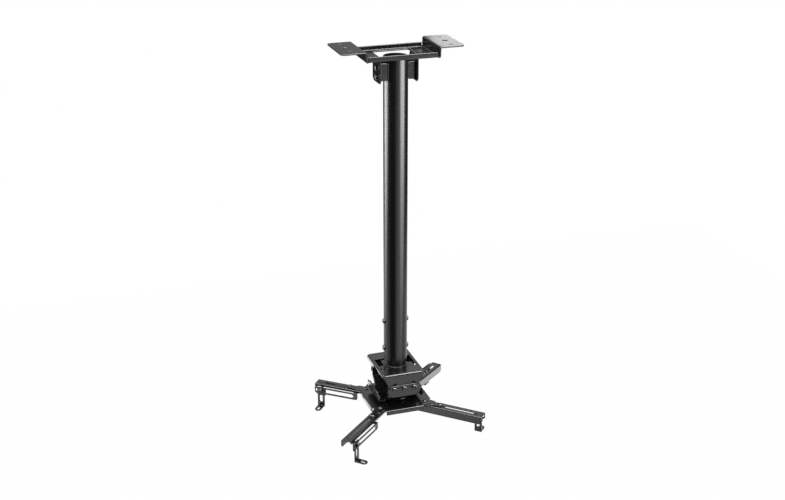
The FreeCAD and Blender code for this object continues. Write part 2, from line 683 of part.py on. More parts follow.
def clamp_bar(label, sign):
    """The bar with round ends that the three tilt bolts clamp against a cheek."""
    body = start(label)
    shape = sketch(body, "XZ", "%d * (%s + dim.bar_wall / 2)" % (-sign, barFace))
    end = "(dim.bar_half_length - dim.bar_half_height)"
    slot(shape, "-" + end, end, tiltPivot + " - dim.bar_lower", "dim.bar_half_height")
    for x in ("0", "dim.tilt_bolt_spacing", "-dim.tilt_bolt_spacing"):
        circle(shape, x, tiltPivot, bigHole)
    pad(body, shape, "dim.bar_wall", midplane=True)


def swivel_hub():
    """The turned hub between the cradle and the spider plate, waisted between two rims."""
    body = start("swivel_hub")
    section = sketch(body, "XZ")
    top, low = cradleFloor, "(%s - dim.hub_height)" % cradleFloor
    bore = "dim.swivel_shank / 2 + dim.bolt_clearance"
    rim, waist = "dim.hub_radius", "(dim.hub_radius - dim.hub_height / 5)"
    outline(section, [(bore, low), (rim, low), (rim, low + " + dim.hub_height / 4"),
                      (waist, low + " + dim.hub_height / 2.5"), (waist, top + " - dim.hub_height / 2.5"),
                      (rim, top + " - dim.hub_height / 4"), (rim, top), (bore, top)])
    feature = body.newObject("PartDesign::Revolution", "revolution")
    feature.Profile = section
    feature.ReferenceAxis = (section, ["V_Axis"])
    feature.Angle = 360
    document.recompute()


def spider_plate():
    """The X-shaped plate that carries the four arms: a hub with four flanges turned down between four tongues."""
    body = start("spider_plate")
    flat, side, front = "dim.spider_flat", "dim.spider_side_half", "dim.spider_front_half"
    hub = sketch(body, "XY", spiderTop)
    outline(hub, [(flat, "-" + side), (flat, side), (front, flat), ("-" + front, flat), ("-" + flat, side),
                  ("-" + flat, "-" + side), ("-" + front, "-" + flat), (front, "-" + flat)])
    circle(hub, "0", "0", "dim.swivel_shank + 2 * dim.pivot_fit")
    pad(body, hub, "dim.spider_wall", backwards=True)
    tip, cut = "dim.tongue_reach", "dim.tongue_half_width / 3"

    def turned_point(along, across, turn):
        cosine, sine = "cos(%s * 1 deg)" % turn, "sin(%s * 1 deg)" % turn
        return ("(%s) * %s - (%s) * %s" % (along, cosine, across, sine),
                "(%s) * %s + (%s) * %s" % (along, sine, across, cosine))

    inner = "dim.spider_flat"
    wide, step, narrow = "dim.tongue_half_width", "dim.tongue_step", "dim.tongue_half_width * 0.6"
    edge = [(inner, wide), (step, wide), ("%s + %s" % (step, cut), narrow), ("%s - %s" % (tip, cut), narrow),
            (tip, "dim.tongue_half_width / 4")]
    tongue = [(a, "-(%s)" % b) for a, b in edge] + edge[::-1]
    for turn in armTurns.values():
        arm = sketch(body, "XY", spiderTop)
        outline(arm, [turned_point(a, b, turn) for a, b in tongue])
        pad(body, arm, "dim.spider_wall", backwards=True)
    low = "%s - dim.spider_flange_height" % spiderTop
    inside = "(dim.spider_flat - dim.spider_wall)"
    for sign in ("", "-"):
        for along_x in (True, False):
            flange = sketch(body, "XY", low)
            half = front if along_x else side
            spans = ("-" + half, half, sign + inside, sign + flat)
            rectangle(flange, *(spans if along_x else spans[2:] + spans[:2]))
            pad(body, flange, "dim.spider_flange_height")
    bolts = sketch(body, "XY")
    for turn in armTurns.values():
        for place in ("dim.arm_bolt_inner", "dim.arm_bolt_outer"):
            x, y = turned_point(place, "0", turn)
            circle(bolts, x, y, "dim.small_shank + 2 * dim.bolt_clearance")
    pocket(body, bolts)
    reach, high = size(flat), size(spiderTop)
    fillet(body, "dim.spider_wall - 0.1", lambda m, d: near(abs(d.z), 0) and near(m.z, high)
           and (near(abs(m.x), reach) or near(abs(m.y), reach)))


def arm_channel(label, turn, out):
    """One arm: an open channel with a long slot in its top, a full wall on one side and a short lip on the other."""
    body = start(label, turn, out)
    half, wall = "dim.arm_half_width", "dim.arm_wall"
    section = sketch(body, "YZ", "(dim.arm_reach + dim.arm_inner_end) / 2")
    outline(section, [("-" + half, "%s - dim.arm_height" % armTop),
                      ("-(%s - %s)" % (half, wall), "%s - dim.arm_height" % armTop),
                      ("-(%s - %s)" % (half, wall), "%s - %s" % (armTop, wall)),
                      ("%s - %s" % (half, wall), "%s - %s" % (armTop, wall)),
                      ("%s - %s" % (half, wall), "%s - dim.arm_lip" % armTop),
                      (half, "%s - dim.arm_lip" % armTop), (half, armTop), ("-" + half, armTop)])
    pad(body, section, "dim.arm_reach - dim.arm_inner_end", midplane=True)
    opening = sketch(body, "XY", armTop)
    slot(opening, armSlotInner, armSlotOuter, "0", "dim.arm_slot_width / 2")
    pocket(body, opening, "4 * dim.arm_wall")
    low, wide, high = size("%s - dim.arm_height" % armTop), size(half), size(armTop)
    ends = (size("dim.arm_reach"), size("dim.arm_inner_end"))
    fillet(body, "dim.arm_corner", lambda m, d: near(abs(d.y), 1) and near(m.z, low)
           and any(near(m.x, end) for end in ends))
    fillet(body, "dim.arm_wall + 0.8", lambda m, d: near(abs(d.x), 1) and near(abs(m.y), wide) and near(m.z, high))


def foot_rail(label, turn, out):
    """The slotted rail beside an arm, held off it by a tab at each end."""
    body = start(label, turn, out)
    low = "(%s - dim.rail_height)" % railTop
    plate = sketch(body, "XZ", "-(dim.rail_offset + dim.rail_wall / 2)")
    rectangle(plate, railInner, railOuter, low, railTop)
    half = "dim.rail_slot_height / 2"
    margin = "dim.rail_slot_margin"
    slot(plate, "%s + %s + %s" % (railInner, margin, half), "%s - dim.rail_wall - %s" % (railOuter, half),
         footBolt, half)
    pad(body, plate, "dim.rail_wall", midplane=True)
    tabs = sketch(body, "XY", railTop)
    inner = "dim.arm_half_width"
    rectangle(tabs, railInner, railInner + " + dim.rail_tab_inner", inner, railFace)
    rectangle(tabs, railOuter + " - dim.rail_tab_outer", railOuter, inner, railFace)
    pad(body, tabs, "dim.rail_tab_wall", backwards=True)
    ends = (size(railInner), size(railOuter))
    bottom = size(low)
    fillet(body, "dim.rail_height / 3", lambda m, d: near(abs(d.y), 1) and near(m.z, bottom)
           and any(near(m.x, end) for end in ends))
    face, high = size(railFace), size(railTop)
    fillet(body, "dim.rail_tab_wall * 0.9", lambda m, d: near(abs(d.x), 1) and near(m.y, face)
           and near(m.z, high))


def slider(label, turn, out):
    """The plate behind the leg that the foot bolt draws up."""
    body = start(label, turn, out)
    plate = sketch(body, "XZ", "-(%s - dim.slider_wall / 2)" % sliderFace)
    high = "(%s - dim.slider_top_gap)" % railTop
    rectangle(plate, footPlace + " - dim.slider_half_length", footPlace + " + dim.slider_half_length",
              high + " - dim.slider_height", high)
    circle(plate, footPlace, footBolt, "dim.small_shank + 2 * dim.bolt_clearance")
    pad(body, plate, "dim.slider_wall", midplane=True)
    low = size(high + " - dim.slider_height")
    fillet(body, "dim.slider_half_length / 3", lambda m, d: near(abs(d.y), 1) and near(m.z, low))


def foot(label, turn, out):
    """One foot: a slotted leg and, folded out from it, a tab with the hole for the projector's screw."""
    body = start(label, turn, out)
    place, half = footPlace, "dim.leg_half_width"
    low = "(%s - dim.leg_drop)" % footBolt
    leg = sketch(body, "XZ", "-(%s - dim.foot_wall / 2)" % legFace)
    high = "(%s + dim.leg_head)" % footBolt
    rectangle(leg, "%s - %s" % (place, half), "%s + %s" % (place, half), low, high)
    upright_slot(leg, place, "%s - dim.leg_slot_length" % footBolt, "%s + dim.leg_slot_rise" % footBolt,
                 "dim.leg_slot_half")
    pad(body, leg, "dim.foot_wall", midplane=True)
    tab = sketch(body, "XY", low)
    wide = "dim.tab_half_width"
    tip, root = "(%s + dim.tab_reach - %s)" % (legFace, wide), "(%s - dim.foot_wall)" % legFace
    outline(tab, [("%s - %s" % (place, wide), root), ("%s + %s" % (place, wide), root),
                  ("%s + %s" % (place, wide), tip, place, tip, 1), ("%s - %s" % (place, wide), tip)])
    hole = "(%s + %s - dim.tab_hole_margin)" % (tip, wide)
    upright_slot(tab, place, "%s - dim.tab_hole_length" % hole, hole, "dim.tab_hole_width / 2")
    pad(body, tab, "dim.foot_wall")
    face, bottom, top = size(root), size(low), size(high)
    fillet(body, "dim.foot_wall * 0.9", lambda m, d: near(abs(d.x), 1) and near(m.y, face) and near(m.z, bottom))
    fillet(body, "dim.leg_corner", lambda m, d: near(abs(d.y), 1) and near(m.z, top))


def fasteners():
    """Bolts and nuts, each kind as one piece."""
    shank, head, tall = size("dim.big_shank"), size("dim.big_head"), size("dim.big_head_height")
    flats, deep = size("dim.big_nut_flats"), size("dim.big_nut_height")
    gap, end = size("dim.running_gap"), size("dim.bolt_end")
    bigNut = nut(flats, deep, shank)
    pivot = size(headPivot)
    levels = (pivot, pivot - size("dim.head_clamp_drop"))
    face, inside = size("dim.cheek_face") + gap, size(lugFace) - size("dim.lug_wall")
    bolt = button_bolt(head, tall, shank, face - inside + deep + end)
    sides = (vector(1, 0, 0), vector(-1, 0, 0))
    group("head_bolts", [aim(bolt, d * face + vector(0, 0, z), d) for d in sides for z in levels])
    group("head_nuts", [aim(bigNut, d * inside + vector(0, 0, z), -d) for d in sides for z in levels])

    outer = size("dim.pole_radius")
    innerWall = outer - size("dim.pole_wall") - gap - size("dim.stub_wall")
    seat = math.sqrt(innerWall ** 2 - (flats / math.sqrt(3)) ** 2)
    levels = (-size("dim.pole_bolt_upper"), -size("dim.pole_bolt_lower"))
    bolt = button_bolt(head, tall, shank, outer - seat + deep + end)
    group("pole_bolts", [aim(bolt, d * outer + vector(0, 0, z), d) for d in sides for z in levels])
    group("pole_nuts", [aim(bigNut, d * seat + vector(0, 0, z), -d) for d in sides for z in levels])

    pivot = size(tiltPivot)
    places = (-size("dim.tilt_bolt_spacing"), 0.0, size("dim.tilt_bolt_spacing"))
    face, inside = size(barFace) + size("dim.bar_wall"), size(earFace) - size("dim.cradle_wall")
    bolt = button_bolt(head, tall, shank, face - inside + deep + end)
    ends = (vector(0, -1, 0), vector(0, 1, 0))
    group("tilt_bolts", [aim(bolt, d * face + vector(x, 0, pivot), d) for d in ends for x in places])
    group("tilt_nuts", [aim(bigNut, d * inside + vector(x, 0, pivot), -d) for d in ends for x in places])

    floor = size(cradleFloor)
    shank = size("dim.swivel_shank")
    headHeight, nutHeight = size("dim.swivel_head_height"), size("dim.swivel_nut_height")
    under = size(spiderTop) - size("dim.spider_wall") - gap
    washer = size("dim.nut_washer_height")
    seat = floor + size("dim.cradle_wall")
    hexHead = aim(hexagon(size("dim.swivel_head_flats"), headHeight), vector(0, 0, seat), vector(0, 0, 1))
    tip = under - washer - nutHeight - end
    stem = aim(Part.makeCylinder(shank / 2, seat - tip), vector(0, 0, tip), vector(0, 0, 1))
    group("swivel_bolt", [hexHead.fuse(stem).removeSplitter()])
    lockNut = aim(nut(size("dim.swivel_head_flats"), nutHeight, shank), vector(0, 0, under - washer),
                  vector(0, 0, -1))
    group("swivel_nut", [lockNut])

    def ring(radius, bore, height, top):
        disc = Part.makeCylinder(radius, height).cut(Part.makeCylinder(bore, height))
        return aim(disc, vector(0, 0, top), vector(0, 0, -1))

    group("swivel_nut_washer", [ring(size("dim.nut_washer_radius"), shank / 2, washer, under)])
    group("swivel_washer", [ring(size("dim.washer_radius"), shank / 2 + size("dim.bolt_clearance"),
                                 size("dim.washer_height"), floor - size("dim.hub_height"))])

    shank, head, tall = size("dim.small_shank"), size("dim.small_head"), size("dim.small_head_height")
    flats, deep = size("dim.small_nut_flats"), size("dim.small_nut_height")
    smallNut = nut(flats, deep, shank)
    top = size(spiderTop)
    beneath = size(armTop) - size("dim.arm_wall") - gap
    bolt = button_bolt(head, tall, shank, top - beneath + deep + end)
    spots = []
    for turn in armTurns.values():
        angle = math.radians(size(turn))
        for place in (size("dim.arm_bolt_inner"), size("dim.arm_bolt_outer")):
            spots.append(vector(place * math.cos(angle), place * math.sin(angle), 0))
    group("arm_bolts", [aim(bolt, s + vector(0, 0, top), vector(0, 0, 1)) for s in spots])
    group("arm_nuts", [aim(smallNut, s + vector(0, 0, beneath), vector(0, 0, -1)) for s in spots])


def foot_bolt(corner, turn, out):
    """The foot bolt, whose square neck sits in the rail's slot and in the leg's slot, and its nut."""
    shank, head, tall = size("dim.small_shank"), size("dim.small_head"), size("dim.small_head_height")
    outer, back = size(railFace) + size("dim.running_gap"), size(sliderFace)
    rear = back - size("dim.slider_wall")
    deep = size("dim.small_nut_height")
    bolt = button_bolt(head, tall, shank, outer - rear + deep + size("dim.bolt_end"))
    side = size("dim.neck_side")
    length = outer - back - size("dim.running_gap")
    neck = Part.makeBox(side, side, length, vector(-side / 2, -side / 2, -length))
    place = vector(size(footPlace), 0, size(footBolt))
    along = vector(0, 1, 0)
    whole = aim(bolt.fuse(neck).removeSplitter(), place + along * outer, along)
    group("foot_bolt_" + corner, [whole], size(turn), size(out))
    smallNut = nut(size("dim.small_nut_flats"), deep, shank)
    group("foot_nut_" + corner, [aim(smallNut, place + along * rear, -along)], size(turn), size(out))


ceiling_plate()
cheek("cheek_left", -1)
cheek("cheek_right", 1)
head_lug("head_lug_left", -1)
head_lug("head_lug_right", 1)
tube("pole_tube", "dim.pole_radius", "dim.pole_wall", "-dim.pole_top", "-dim.pole_end")
tube("stub_tube", "dim.pole_radius - dim.pole_wall - dim.running_gap", "dim.stub_wall", "-dim.stub_top",
     "-dim.frame_top - dim.frame_wall")
foot_plate()
tilt_frame()
tilt_cradle()
clamp_bar("clamp_bar_front", -1)
clamp_bar("clamp_bar_back", 1)
swivel_hub()
spider_plate()
fasteners()
for corner, turn in armTurns.items():
    out = "dim.%s_out" % corner
    arm_channel("arm_" + corner, turn, out)
    foot_rail("rail_" + corner, turn, out)
    slider("slider_" + corner, turn, out)
    foot_bolt(corner, turn, out)
    foot("foot_" + corner, turn, out)

document.recompute()
for item in document.Objects:
    if "Invalid" in item.State or "Error" in item.State:
        raise RuntimeError("%s is %s" % (item.Label, item.State))
for piece in pieces:
    if piece.Shape.isNull() or not piece.Shape.isValid():
        raise RuntimeError(piece.Label + " has no valid shape")

os.makedirs("parts", exist_ok=True)
for piece in pieces:
    piece.Shape.exportStep("parts/%s.step" % piece.Label)
print(len(pieces), "pieces written")
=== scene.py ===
import math

import bmesh
import bpy
import numpy as np
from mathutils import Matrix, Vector


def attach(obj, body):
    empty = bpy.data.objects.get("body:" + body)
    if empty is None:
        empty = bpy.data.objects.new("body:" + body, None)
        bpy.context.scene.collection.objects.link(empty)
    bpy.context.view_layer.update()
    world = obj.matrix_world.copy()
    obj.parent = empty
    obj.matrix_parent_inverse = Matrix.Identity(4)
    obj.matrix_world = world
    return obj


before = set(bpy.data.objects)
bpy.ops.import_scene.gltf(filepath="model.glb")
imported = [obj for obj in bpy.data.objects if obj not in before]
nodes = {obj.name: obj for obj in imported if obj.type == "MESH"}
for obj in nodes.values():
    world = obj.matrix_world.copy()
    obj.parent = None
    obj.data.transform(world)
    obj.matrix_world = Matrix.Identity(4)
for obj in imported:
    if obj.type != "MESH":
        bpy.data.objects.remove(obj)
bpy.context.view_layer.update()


# small helpers
def addObject(name, data):
    thing = bpy.data.objects.new(name, data)
    bpy.context.scene.collection.objects.link(thing)
    return thing


def faceAlong(thing, direction):
    # lamps and cameras look down their own -Z
    thing.rotation_euler = direction.to_track_quat("-Z", "Y").to_euler()


def sines(degrees):
    return [math.sin(math.radians(angle)) for angle in degrees]


def cosines(degrees):
    return [math.cos(math.radians(angle)) for angle in degrees]


def meshFromGrid(name, points, closeU=False, closeV=False):
    # points is an array (rows, columns, 3); neighbours along rows and columns are joined by quads
    rows, columns, _ = points.shape
    index = np.arange(rows * columns).reshape(rows, columns)
    if closeU:
        index = np.vstack([index, index[:1]])
    if closeV:
        index = np.hstack([index, index[:, :1]])
    corners = [index[:-1, :-1], index[:-1, 1:], index[1:, 1:], index[1:, :-1]]
    quads = np.stack(corners, axis=-1).reshape(-1, 4)
    mesh = bpy.data.meshes.new(name)
    mesh.vertices.add(rows * columns)
    mesh.vertices.foreach_set("co", points.reshape(-1).astype(np.float32))
    mesh.loops.add(quads.size)
    mesh.loops.foreach_set("vertex_index", quads.reshape(-1).astype(np.int32))
    mesh.polygons.add(len(quads))
    mesh.polygons.foreach_set("loop_start", np.arange(0, quads.size, 4, dtype=np.int32))
    mesh.polygons.foreach_set("use_smooth", np.ones(len(quads), dtype=bool))
    mesh.update(calc_edges=True)
    mesh.validate()
    return mesh


def placePiece(name, mesh, material, body):
    piece = addObject(name, mesh)
    mesh.materials.append(material)
    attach(piece, body)
    return piece


# node helpers; inputs maps the name or number of an input to a value or to the output that feeds it
def clearTree(owner):
    owner.use_nodes = True
    owner.node_tree.nodes.clear()
    return owner.node_tree


def feed(tree, node, inputs):
    for key, source in inputs.items():
        if isinstance(source, bpy.types.NodeSocket):
            tree.links.new(source, node.inputs[key])
        else:
            node.inputs[key].default_value = source


def addNode(tree, kind, place, inputs=None, **values):
    node = tree.nodes.new(kind)
    node.location = place
    for key, value in values.items():
        setattr(node, key, value)
    feed(tree, node, inputs or {})
    return node


def addMath(tree, place, operation, *sources):
    node = addNode(tree, "ShaderNodeMath", place, dict(enumerate(sources)), operation=operation)
    return node.outputs[0]


def addVectorMath(tree, place, operation, *sources):
    return addNode(tree, "ShaderNodeVectorMath", place, dict(enumerate(sources)),
                   operation=operation)


def addRamp(tree, place, source, given, wanted=(0.0, 1.0), shape="LINEAR"):
    # the range given becomes the range wanted, held at both ends
    node = addNode(tree, "ShaderNodeMapRange", place, {
        "Value": source, "From Min": given[0], "From Max": given[1],
        "To Min": wanted[0], "To Max": wanted[1]}, interpolation_type=shape)
    return node.outputs["Result"]


# the shader group that all finishes share: each input, its kind and the finish's value behind it
coatInputs = {
    "Coat": ("NodeSocketColor", "coat"),
    "Dust": ("NodeSocketColor", "dust"),
    "Dust Amount": ("NodeSocketFloat", "dustAmount"),
    "Peel Scale": ("NodeSocketFloat", "peelScale"),
    "Peel Height": ("NodeSocketFloat", "peelHeight"),
    "Roughness": ("NodeSocketFloat", "roughness"),
    "Roughness Spread": ("NodeSocketFloat", "spread"),
    "Bend Radius": ("NodeSocketFloat", "bend"),
    # the last input sets how much a painted highlight lightens the edges
    "Painted Edge Highlight": ("NodeSocketFloat", "edgeHighlight"),
}
coatOutputs = {
    "Colour": "NodeSocketColor",
    "Roughness": "NodeSocketFloat",
    "Normal": "NodeSocketVector",
}
# peelDepth is in metres, dustSlope the upward part of a normal, and the edge entry the range of the
# cosine between the rounded and the flat normal across which a painted highlight lightens the edges
coatPattern = {"peelDetail": 3.0, "peelDepth": 0.0002, "mottleScale": 38.0, "mottleDetail": 5.0,
               "mottleMiddle": 0.5, "patches": (0.35, 0.7), "dustSlope": (0.45, 1.0),
               "paintedEdgeBand": (0.985, 0.86), "bendSamples": 16}


def makeCoatGroup():
    # powder coat: a fine orange peel in the normal, slow mottling in roughness, dust in patches on
    # faces that look up, and a painted highlight in patches where the rounded normal leaves the
    # flat one
    group = bpy.data.node_groups.new("powderCoat", "ShaderNodeTree")
    for label, (kind, _) in coatInputs.items():
        group.interface.new_socket(label, in_out="INPUT", socket_type=kind)
    for label, kind in coatOutputs.items():
        group.interface.new_socket(label, in_out="OUTPUT", socket_type=kind)
    start = addNode(group, "NodeGroupInput", (-1200, 0)).outputs
    spot = addNode(group, "ShaderNodeTexCoord", (-1200, 400)).outputs["Object"]
    flat = addNode(group, "ShaderNodeNewGeometry", (-800, -100)).outputs["Normal"]
    peel = addNode(group, "ShaderNodeTexNoise", (-800, 500), {
        "Vector": spot, "Scale": start["Peel Scale"], "Detail": coatPattern["peelDetail"]})
    mottle = addNode(group, "ShaderNodeTexNoise", (-800, 200), {
        "Vector": spot, "Scale": coatPattern["mottleScale"], "Detail": coatPattern["mottleDetail"]})
    patch = addRamp(group, (-420, 200), mottle.outputs["Fac"], coatPattern["patches"])
    split = addNode(group, "ShaderNodeSeparateXYZ", (-600, -100), {0: flat})
    upward = addRamp(group, (-420, -100), split.outputs["Z"], coatPattern["dustSlope"])
    settled = addMath(group, (-200, 0), "MULTIPLY", upward, patch)
    dusty = addMath(group, (0, 0), "MULTIPLY", settled, start["Dust Amount"])
    dusted = addNode(group, "ShaderNodeMix", (220, 100), {
        "Factor": dusty, "A": start["Coat"], "B": start["Dust"]}, data_type="RGBA")
    drift = addMath(group, (-200, -250), "SUBTRACT", mottle.outputs["Fac"],
                    coatPattern["mottleMiddle"])
    rough = addMath(group, (0, -250), "MULTIPLY_ADD", drift, start["Roughness Spread"],
                    start["Roughness"])
    bend = addNode(group, "ShaderNodeBevel", (0, 600), {"Radius": start["Bend Radius"]},
                   samples=coatPattern["bendSamples"]).outputs["Normal"]
    # painted highlight: a lighter colour in patches along the edges, where the rounded normal
    # leaves the flat one, stands in for light caught on the bends
    straight = addVectorMath(group, (200, 700), "DOT_PRODUCT", bend, flat)
    paintedEdgeBand = addRamp(group, (380, 700), straight.outputs["Value"], coatPattern["paintedEdgeBand"])
    paintedEdgePatches = addMath(group, (540, 700), "MULTIPLY", paintedEdgeBand, patch)
    paintedEdgeLight = addMath(group, (540, 560), "MULTIPLY", paintedEdgePatches, start["Painted Edge Highlight"])
    colour = addNode(group, "ShaderNodeMix", (700, 300), {
        "Factor": 1.0, "A": dusted.outputs["Result"], "B": paintedEdgeLight},
        data_type="RGBA", blend_type="ADD")
    bump = addNode(group, "ShaderNodeBump", (220, 400), {
        "Distance": coatPattern["peelDepth"], "Strength": start["Peel Height"],
        "Height": peel.outputs["Fac"], "Normal": bend})
    addNode(group, "NodeGroupOutput", (900, 0), {
        "Colour": colour.outputs["Result"], "Roughness": rough, "Normal": bump.outputs["Normal"]})
    return group


coatGroup = makeCoatGroup()

# what a user would change: one entry for each finish; its edge value sets how much a painted
# highlight lightens the edges
finishes = {
    "sheetCoat": {"coat": (0.0065, 0.0065, 0.0068), "dust": (0.016, 0.0158, 0.0155),
                  "dustAmount": 0.25, "peelScale": 1100.0, "peelHeight": 0.07, "roughness": 0.235,
                  "spread": 0.08, "specular": 0.45, "bend": 0.0034, "edgeHighlight": 0.02, "metallic": 0.0},
    "poleCoat": {"coat": (0.002, 0.002, 0.0022), "dust": (0.02, 0.02, 0.02),
                 "dustAmount": 0.0, "peelScale": 1100.0, "peelHeight": 0.05, "roughness": 0.27,
                 "spread": 0.05, "specular": 0.42, "bend": 0.0008, "edgeHighlight": 0.01, "metallic": 0.0},
    "boltBlack": {"coat": (0.004, 0.004, 0.0042), "dust": (0.03, 0.03, 0.03),
                  "dustAmount": 0.1, "peelScale": 1800.0, "peelHeight": 0.05, "roughness": 0.15,
                  "spread": 0.06, "specular": 0.6, "bend": 0.0006, "edgeHighlight": 0.03, "metallic": 0.0},
    "zincSteel": {"coat": (0.12, 0.12, 0.118), "dust": (0.10, 0.095, 0.09),
                  "dustAmount": 0.2, "peelScale": 900.0, "peelHeight": 0.10, "roughness": 0.38,
                  "spread": 0.15, "specular": 0.5, "bend": 0.0004, "edgeHighlight": 0.05, "metallic": 0.95},
    "weldCoat": {"coat": (0.007, 0.007, 0.0072), "dust": (0.015, 0.015, 0.015),
                 "dustAmount": 0.1, "peelScale": 700.0, "peelHeight": 0.15, "roughness": 0.42,
                 "spread": 0.10, "specular": 0.35, "bend": 0.0008, "edgeHighlight": 0.01, "metallic": 0.0},
}


def makeFinish(name, look):
    material = bpy.data.materials.new(name)
    tree = clearTree(material)
    given = {label: (*look[key], 1) if kind == "NodeSocketColor" else look[key]
             for label, (kind, key) in coatInputs.items()}
    coat = addNode(tree, "ShaderNodeGroup", (-300, 0), given, node_tree=coatGroup).outputs
    shader = addNode(tree, "ShaderNodeBsdfPrincipled", (0, 0), {
        "Base Color": coat["Colour"], "Roughness": coat["Roughness"], "Normal": coat["Normal"],
        "Metallic": look["metallic"], "Specular IOR Level": look["specular"]})
    addNode(tree, "ShaderNodeOutputMaterial", (300, 0), {"Surface": shader.outputs[0]})
    return material


materials = {name: makeFinish(name, look) for name, look in finishes.items()}
print("finishes made:", len(materials))


# the solids get softened edges and their finish; widths and the join distance are in metres
edges = {"sheet": 0.0009, "fastener": 0.0003, "angle": 40.0, "segments": 3, "join": 0.00001,
         "evenness": 80}
tubes = ("pole_tube", "stub_tube")
zincParts = ("swivel_nut", "swivel_nut_washer", "swivel_washer")
fasteners = [name for name in nodes if "bolt" in name or "nut" in name]


def dressSolid(name, material, width):
    solid = nodes[name]
    solid.data.materials.clear()
    solid.data.materials.append(material)
    polygons = solid.data.polygons
    polygons.foreach_set("use_smooth", np.ones(len(polygons), dtype=bool))
    join = solid.modifiers.new("join", "WELD")
    join.merge_threshold = edges["join"]
    soften = solid.modifiers.new("soften", "BEVEL")
    soften.width = width
    soften.segments = edges["segments"]
    soften.limit_method = "ANGLE"
    soften.angle_limit = math.radians(edges["angle"])
    soften.use_clamp_overlap = True
    even = solid.modifiers.new("even", "WEIGHTED_NORMAL")
    even.keep_sharp = True
    even.weight = edges["evenness"]


for nodeName in nodes:
    if nodeName in zincParts:
        dressSolid(nodeName, materials["zincSteel"], edges["fastener"])
    elif nodeName in fasteners:
        dressSolid(nodeName, materials["boltBlack"], edges["fastener"])
    elif nodeName in tubes:
        dressSolid(nodeName, materials["poleCoat"], edges["fastener"])
    else:
        dressSolid(nodeName, materials["sheetCoat"], edges["sheet"])
print("solids dressed:", len(nodes))


# the weld beads that the solids leave out; lengths are in metres
welds = {"radius": 0.0015, "ripple": 0.07, "ripplePitch": 0.0026, "sides": 14, "endPower": 12,
         "merge": 0.000002}


def makeBead(name, path, outward, closed):
    # a circle swept along the path; its radius swells in even scallops, and falls to nothing at an
    # open path's ends
    count = len(path)
    along = np.roll(path, -1, axis=0) - np.roll(path, 1, axis=0)
    if not closed:
        along[0], along[-1] = path[1] - path[0], path[-1] - path[-2]
    along /= np.linalg.norm(along, axis=1, keepdims=True)
    across = np.cross(along, outward)
    travel = np.arange(count) * np.linalg.norm(path[1] - path[0])
    scallop = np.abs(np.sin(np.pi * travel / welds["ripplePitch"]))
    reach = welds["radius"] * (1 + welds["ripple"] * scallop)
    if not closed:
        share = np.linspace(-1, 1, count)
        reach = reach * np.sqrt(np.clip(1 - np.abs(share) ** welds["endPower"], 0, 1))
    turn = np.linspace(0, 2 * np.pi, welds["sides"], endpoint=False)[None, :, None]
    ring = np.cos(turn) * outward[:, None, :] + np.sin(turn) * across[:, None, :]
    points = path[:, None, :] + reach[:, None, None] * ring
    mesh = meshFromGrid(name, points, closeU=closed, closeV=True)
    work = bmesh.new()
    work.from_mesh(mesh)
    bmesh.ops.remove_doubles(work, verts=work.verts, dist=welds["merge"])
    bmesh.ops.recalc_face_normals(work, faces=work.faces)
    work.to_mesh(mesh)
    work.free()
    return placePiece(name, mesh, materials["weldCoat"], "pole")


# round the inner tube, where it meets the foot plate
stubBead = {"radius": 0.0274, "height": -0.8388, "steps": 96}
around = np.linspace(0, 2 * np.pi, stubBead["steps"], endpoint=False)
outward = np.stack([np.cos(around), np.sin(around), np.zeros_like(around)], axis=1)
circle = outward * stubBead["radius"] + [0, 0, stubBead["height"]]
beads = [makeBead("stubBead", circle, outward, True)]

# upright, along both edges of each lug
lugBeads = {"x": 0.0243, "y": 0.0186, "top": -0.0415, "bottom": -0.0805, "steps": 61}
fall = np.linspace(lugBeads["top"], lugBeads["bottom"], lugBeads["steps"])
for sideX, nameX in ((-1, "Left"), (1, "Right")):
    for sideY, nameY in ((-1, "Front"), (1, "Back")):
        path = np.stack([np.full_like(fall, sideX * lugBeads["x"]),
                         np.full_like(fall, sideY * lugBeads["y"]), fall], axis=1)
        away = np.tile(np.array([0.0, sideY, 0.0]), (lugBeads["steps"], 1))
        beads.append(makeBead("lugBead" + nameX + nameY, path, away, False))
print("weld beads made:", len(beads))


# stage, light and camera; plain is the share of white in what the camera sees of the floor
stage = {"floorHeight": -1.55, "floorReach": 2.3, "floorNear": -0.45, "floorSteps": 9,
         "pale": 0.9, "plain": 0.99}


def makeFloor():
    # a flat pale floor under and behind the mount
    x = np.linspace(-stage["floorReach"], stage["floorReach"], stage["floorSteps"])
    y = np.linspace(stage["floorNear"], stage["floorReach"], stage["floorSteps"])
    gridX, gridY = np.meshgrid(x, y)
    points = np.stack([gridX, gridY, np.full_like(gridX, stage["floorHeight"])], axis=-1)
    mesh = meshFromGrid("paleFloor", points)
    floor = addObject("paleFloor", mesh)
    material = bpy.data.materials.new("paleFloor")
    tree = clearTree(material)
    ray = addNode(tree, "ShaderNodeLightPath", (-600, 200)).outputs
    seen = addMath(tree, (-400, 200), "MAXIMUM", ray["Is Camera Ray"], ray["Is Glossy Ray"])
    seen = addMath(tree, (-200, 200), "MAXIMUM", seen, ray["Is Transmission Ray"])
    share = addMath(tree, (0, 300), "MULTIPLY", seen, stage["plain"])
    diffuse = addNode(tree, "ShaderNodeBsdfDiffuse", (0, 100), {"Color": (*[stage["pale"]] * 3, 1)})
    glow = addNode(tree, "ShaderNodeEmission", (0, -100))
    mix = addNode(tree, "ShaderNodeMixShader", (200, 0), {
        0: share, 1: diffuse.outputs[0], 2: glow.outputs[0]})
    addNode(tree, "ShaderNodeOutputMaterial", (400, 0), {"Surface": mix.outputs[0]})
    mesh.materials.append(material)


# fill is the room's light, dark and lowest what a reflection sees of it and of its bottom;
# lowHeights are sines
studio = {"white": 1.0, "fill": 0.55, "dark": 0.035, "lowest": 0.08, "lowHeights": (-0.9, -0.5)}
